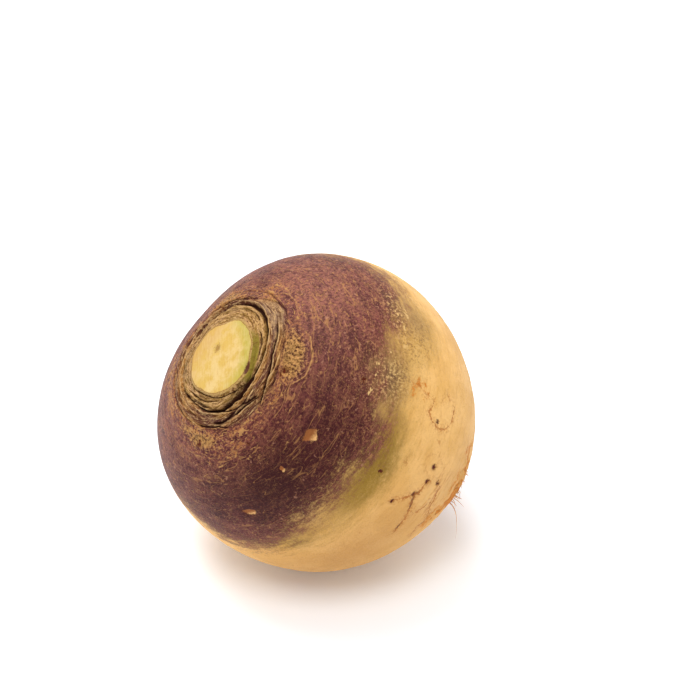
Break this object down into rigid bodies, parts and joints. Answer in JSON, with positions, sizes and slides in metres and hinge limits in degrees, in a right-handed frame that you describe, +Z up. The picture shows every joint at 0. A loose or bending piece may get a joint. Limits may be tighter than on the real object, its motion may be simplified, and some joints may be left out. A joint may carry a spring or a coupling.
{
  "type": "rutabaga",
  "caption": "Whole topped rutabaga: a globe-shaped root with a cut leafy neck, lying tilted on a small flat spot.",
  "frame": {"origin": "middle of the small flat spot on the root's side, on the floor", "axes": "+Z up as the root lies; its crown leans 48.4 degrees from +Z, towards -X and -Y"},
  "size_m": [0.1116, 0.1125, 0.1108],
  "materials": {
    "skin": "thin natural skin, purple over the crown half and yellow below, dull with a faint sheen"
  },
  "bodies": {
    "root": {"rutabaga": "skin"}
  },
  "joints": []
}
